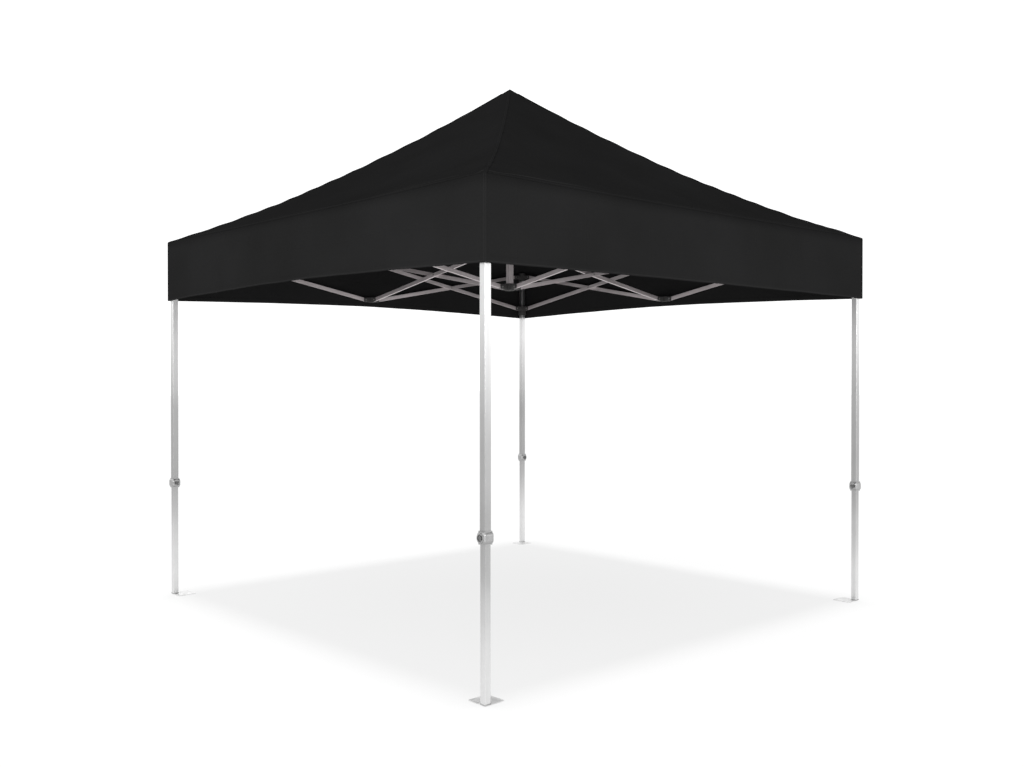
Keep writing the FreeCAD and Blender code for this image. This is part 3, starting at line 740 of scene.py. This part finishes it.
def makeCover():
    n = ringCount
    index, points, reach = {}, [], []
    for i in range(-n, n + 1):
        for j in range(-n, n + 1):
            ring = max(abs(i), abs(j))
            q = roofRings[ring - 1] if ring else 0
            index[i, j] = len(points)
            points.append(gridPoint(i, j, q) if ring else Vector((0, 0, cover["peak"])))
            reach.append(q)
    faces = []  # each with its middle on the grid
    for i in range(-n, n):
        for j in range(-n, n):
            a, b, c, d = index[i, j], index[i + 1, j], index[i + 1, j + 1], index[i, j + 1]
            if i == j:  # squares on a hip are split along it
                faces += [((a, b, c), (i + 0.7, j + 0.3)), ((a, c, d), (i + 0.3, j + 0.7))]
            elif i == -j - 1:
                faces += [((a, b, d), (i + 0.3, j + 0.3)), ((b, c, d), (i + 0.7, j + 0.7))]
            else:
                faces.append(((a, b, c, d), (i + 0.5, j + 0.5)))
    loop = (
        [(n, j) for j in range(-n, n)] + [(i, n) for i in range(n, -n, -1)]
        + [(-n, j) for j in range(n, -n, -1)] + [(i, -n) for i in range(-n, n)]
    )
    above = [index[spot] for spot in loop]
    for q in hangRings:
        below = list(range(len(points), len(points) + len(loop)))
        points += [gridPoint(i, j, q) for i, j in loop]
        reach += [q] * len(loop)
        for k, (i, j) in enumerate(loop):
            m = (k + 1) % len(loop)
            middle = ((i + loop[m][0]) / 2, (j + loop[m][1]) / 2)
            faces.append(((above[k], below[k], below[m], above[m]), middle))
        above = below
    uvs = []
    for face, middle in faces:
        l = sides[sideOf(*middle)[0]][1]
        uvs.append([(points[v].dot(l), reach[v]) for v in face])
    piece = makeMesh("cover", points, [face for face, _ in faces], uvs, "cloth")
    giveWall(piece, cover["thickness"])
    return piece


# strips sewn on the cover; a place on them is its q and its rise above the cloth
seams = {
    "width": 0.022,
    "rise": 0.0012,
    "thickness": 0.0012,
    "across": (-1, -0.55, 0, 0.55, 1),
    "start": 0.03,  # from the peak
    "beside": 0.985,  # v where a panel's own face is felt
    "sideEnd": 0.9985,  # the sides' strips stop just short of the corners
    "crease": 40,  # degrees, past which an edge stays sharp
    "band": (1.398, 1.419, 1.44, 1.455, 1.468, 1.480, 1.488),
    "bandRise": 0.0009,
    "hem": 0.026,
    "hemEdge": 0.0012,
    "hemOutside": 0.0010,
    "hemInside": -0.0025,
    "hemLip": (0.0006, -0.0021),
}


def makeStrips(name, rows):
    # rows are lists of points across the strip; the map holds metres along, and -1 to 1 across
    points, faces, uvs = [], [], []
    for strip in rows:
        start, count = len(points), len(strip[0])
        middle = count // 2
        lengths = [0]
        for first, second in zip(strip, strip[1:]):
            lengths.append(lengths[-1] + (second[middle] - first[middle]).length)
        for line in strip:
            points += line
        for r in range(len(strip) - 1):
            for c in range(count - 1):
                a = start + r * count + c
                faces.append((a, a + 1, a + count + 1, a + count))
                near, far = -1 + 2 * c / (count - 1), -1 + 2 * (c + 1) / (count - 1)
                uvs.append([
                    (lengths[r], near), (lengths[r], far),
                    (lengths[r + 1], far), (lengths[r + 1], near),
                ])
    piece = makeMesh(name, points, faces, uvs, "seam")
    giveWall(piece, seams["thickness"])
    bpy.ops.object.shade_smooth_by_angle(angle=math.radians(seams["crease"]))
    return piece


def makeCornerSeams():
    # one flat-felled seam down each hip and on down the valance corner
    rows = []
    stations = [q for q in roofRings if q > seams["start"]] + hangRings
    for k, side in enumerate(sideNames):
        after = sideNames[(k + 1) % 4]
        strip = []
        for q in stations:
            line = []
            for e in seams["across"]:
                away = abs(e) * seams["width"] / 2 / min(q, cover["half"])
                if e <= 0:
                    line.append(clothPoint(side, q, 1 - away))
                else:
                    line.append(clothPoint(after, q, -1 + away))
            n1 = clothNormal(side, q, seams["beside"])
            n2 = clothNormal(after, q, -seams["beside"])
            pushes = [n1, n1, (n1 + n2).normalized(), n2, n2]
            strip.append([p + push * seams["rise"] for p, push in zip(line, pushes)])
        rows.append(strip)
    return makeStrips("cover_corner_seams", rows)


def makeSideStrips(name, stations):
    across = [spread(j / ringCount) for j in range(-ringCount, ringCount + 1)]
    rows = []
    for side in sideNames:
        rows.append([
            [clothPoint(side, q, v * seams["sideEnd"], rise) for q, rise in stations]
            for v in across
        ])
    return makeStrips(name, rows)


def makeHem():
    # up the outside, round the edge and up the inside
    top, middle = hemRing - seams["hem"], hemRing - seams["hem"] / 2
    edge, outside, inside = hemRing + seams["hemEdge"], seams["hemOutside"], seams["hemInside"]
    return makeSideStrips("cover_hem", [
        (top, outside), (middle, outside), (edge, seams["hemLip"][0]),
        (edge, seams["hemLip"][1]), (middle, inside), (top, inside),
    ])


coverPiece = makeCover()
cornerSeams = makeCornerSeams()
eaveBand = makeSideStrips("cover_eave_band", [(q, seams["bandRise"]) for q in seams["band"]])
hemBand = makeHem()
clothPieces = [coverPiece, cornerSeams, eaveBand, hemBand]
print("cover made")

# how the cloth goes with the frame as it folds
gather = {
    "legReach": 1.385,  # beyond this the cloth stays with the leg heads
    "settle": 1.24,  # and from here on it keeps its height above them
    "hubTravel": 1.115,  # lower hub, open to folded
    "restTop": 0.085,  # peak above the eave, folded
    "ridge": 0.055,  # height of the pleats on the roof
    "pleat": 0.075,  # and their depth on the valance
    "pleatGap": 0.155,
    "pleatEnd": 1.15,  # the valance's pleats fade from here to the corners
    "least": 0.0005,  # smaller shares are dropped
}


def pleatShares(co):
    x, y, _ = co
    gx = min(1, max(-1, x / gather["legReach"]))
    gy = min(1, max(-1, y / gather["legReach"]))
    shares = {}
    for name, (sx, sy) in corners.items():
        shares["leg_" + name] = (1 + sx * gx) * (1 + sy * gy) / 4
    reach = min(cover["half"], max(abs(x), abs(y)))
    t = reach / cover["half"]
    sideways = abs(y) if abs(x) >= abs(y) else abs(x)
    turn = sideways * 2 * math.pi / gather["pleatGap"] + 1.1 * math.sin(3.1 * sideways)
    fold = 0.5 + 0.5 * math.cos(turn)
    if t < 0.999:  # the roof comes down with the lower hub, apart from its pleats
        rise = cover["peak"] - cover["eave"] - gather["restTop"]
        spare = rise * (1 - t) - cover["sag"] * t * (1 - t)
        spare *= 1 - smooth(gather["settle"], gather["legReach"], reach)
        uneven = 0.75 + 0.25 * math.sin(x * 6.1 + 2 * y) * math.sin(y * 5.2 - x)
        kept = min(gather["ridge"], 0.6 * spare) * fold * uneven * smooth(0.12, 0.5, t)
        shares["hub_lower"] = max(0, spare - kept) / gather["hubTravel"]
    opposite = sideNames[(sideNames.index(sideOf(x, y)[0]) + 2) % 4]
    loose = 1 - smooth(gather["pleatEnd"], gather["legReach"], sideways)
    loose *= smooth(0.8, 1.0, t)
    shares["union_upper_" + opposite] = gather["pleat"] * fold * loose
    return shares


def followFrame(piece):
    groups = {}
    for vertex in piece.data.vertices:
        for body, share in pleatShares(vertex.co).items():
            if share > gather["least"]:
                if body not in groups:
                    groups[body] = piece.vertex_groups.new(name=body)
                groups[body].add([vertex.index], min(1, share), "REPLACE")
    for body in sorted(groups):
        hook = piece.modifiers.new("with_" + body, "HOOK")
        hook.object = bodies[body]
        hook.vertex_group = body
        hook.falloff_type = "NONE"
        hook.strength = 1


bpy.context.view_layer.update()
for piece in clothPieces:
    followFrame(piece)
    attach(piece, "hub")
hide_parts("canopy_fabric")
print("cover tied to the frame")

# beads where the lower legs stand on their foot plates
weld = {
    "legAxis": 1.47,
    "tube": 0.031,
    "gap": 0.0003,
    "corner": 0.002,
    "cuts": 9,
    "plate": 0.004,
    "rise": 0.0006,  # the bead's middle above the plate
    "bead": 0.0024,
    "ripple": 0.0005,
    "rippleStart": 0.0004,
    "pitch": 0.0042,
}


def makeWeld(name):
    x, y = [axis * weld["legAxis"] for axis in corners[name]]
    half = weld["tube"] / 2 + weld["gap"]
    bpy.ops.object.select_all(action="DESELECT")
    bpy.ops.mesh.primitive_plane_add(
        size=2 * half, location=(x, y, weld["plate"] + weld["rise"])
    )
    piece = bpy.context.active_object
    piece.name = "weld_" + name
    bpy.ops.object.mode_set(mode="EDIT")
    bpy.ops.mesh.select_all(action="SELECT")
    bpy.ops.mesh.bevel(offset=weld["corner"], segments=3, affect="VERTICES")
    bpy.ops.mesh.delete(type="ONLY_FACE")
    bpy.ops.mesh.select_all(action="SELECT")
    bpy.ops.mesh.subdivide(number_cuts=weld["cuts"])
    bpy.ops.object.mode_set(mode="OBJECT")
    bpy.ops.object.convert(target="CURVE")
    piece.data.bevel_depth = weld["bead"]
    piece.data.bevel_resolution = 2
    bpy.ops.object.convert(target="MESH")
    bpy.ops.object.transform_apply(location=True, rotation=True, scale=True)
    mesh = piece.data
    for vertex in mesh.vertices:
        if vertex.co.z > weld["plate"] + weld["rippleStart"]:
            turn = 2 * math.pi * (vertex.co.x + vertex.co.y) / weld["pitch"]
            vertex.co.z += weld["ripple"] * math.sin(turn)
    mesh.materials.clear()
    mesh.materials.append(finishes["weld"])
    mesh.shade_smooth()
    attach(piece, "lower_leg_" + name)


for name in corners:
    makeWeld(name)
print("welds made")

studio = {
    "floorSize": 120,
    "floorLevel": -0.0005,
    "floor": 0.10,
    "glow": 0.775,  # the floor's own light keeps it white
    "world": 1.2,
    "left": (-0.674, -0.739, 0),
    "leftShare": 0.8,  # of the light, on the studio's left
    "brightSky": (-0.62, -0.70, 0.2),
    "skyLean": 0.6,
    "aim": (0.4, -0.4, 1.3),
    "lamps": {  # place, power, size
        "key": ((6.6, -6.2, 2.4), 190, 2.0),
        "fill": ((7.2, 4.2, 1.5), 34, 3.5),
    },
    "above": (0, 0, 6),
    "overhead": 3.8,
    "softness": 9,  # degrees across, which softens the edge of the shadow
}


def addFloor():
    bpy.ops.object.select_all(action="DESELECT")
    bpy.ops.mesh.primitive_plane_add(
        size=studio["floorSize"], location=(0, 0, studio["floorLevel"])
    )
    floor = bpy.context.active_object
    floor.name = "floor"
    paint = Paint(
        "pale_floor", Roughness=0.9, Specular_IOR_Level=0.0,
        Emission_Color=(1, 1, 1, 1), Emission_Strength=studio["glow"],
    )
    cloud = paint.grain(paint.place(), scale=0.6)
    level = studio["floor"]
    floor.data.materials.append(paint.finish(
        Base_Color=paint.mix(cloud, grey(level), grey(level + 0.01))
    ))
    return floor


def addSky():
    # even round the horizon, dimmer to the left, and overhead brighter on one side
    world = bpy.data.worlds.new("studio")
    world.use_nodes = True
    back = next(n for n in world.node_tree.nodes if n.type == "BACKGROUND")
    back.inputs["Color"].default_value = (1, 1, 1, 1)
    sky = Sky(world.node_tree)
    heading = sky.make("ShaderNodeTexCoord", output="Object")
    up = sky.parts(heading)[2]
    leftward = sky.dot(heading, studio["left"])
    overhead = up.step(0.15, 0.55) * sky.dot(heading, studio["brightSky"])
    even = 1 - leftward.step(0.5, 0.95) * (1 - studio["leftShare"])
    strength = (even + overhead * studio["skyLean"]) * studio["world"]
    sky.tree.links.new(strength.socket, back.inputs["Strength"])
    bpy.context.scene.world = world


def addLamp(name, kind, place, power):
    lamp = bpy.data.objects.new(name, bpy.data.lights.new(name, kind))
    bpy.context.scene.collection.objects.link(lamp)
    lamp.location = place
    lamp.data.energy = power
    return lamp


def addLamps(floor):
    for name, (place, power, size) in studio["lamps"].items():
        lamp = addLamp(name, "AREA", place, power)
        lamp.data.size = size
        lamp.rotation_mode = "QUATERNION"
        aim = Vector(studio["aim"]) - Vector(place)
        lamp.rotation_quaternion = aim.to_track_quat("-Z", "Y")
    # a broad lamp straight above lights the floor alone, for the canopy's square shadow
    above = addLamp("above", "SUN", studio["above"], studio["overhead"])
    above.data.angle = math.radians(studio["softness"])
    floorOnly = bpy.data.collections.new("lit_from_above")
    floorOnly.objects.link(floor)
    above.light_linking.receiver_collection = floorOnly


addSky()
addLamps(addFloor())
bpy.context.scene.view_settings.view_transform = "Standard"
print("studio set")
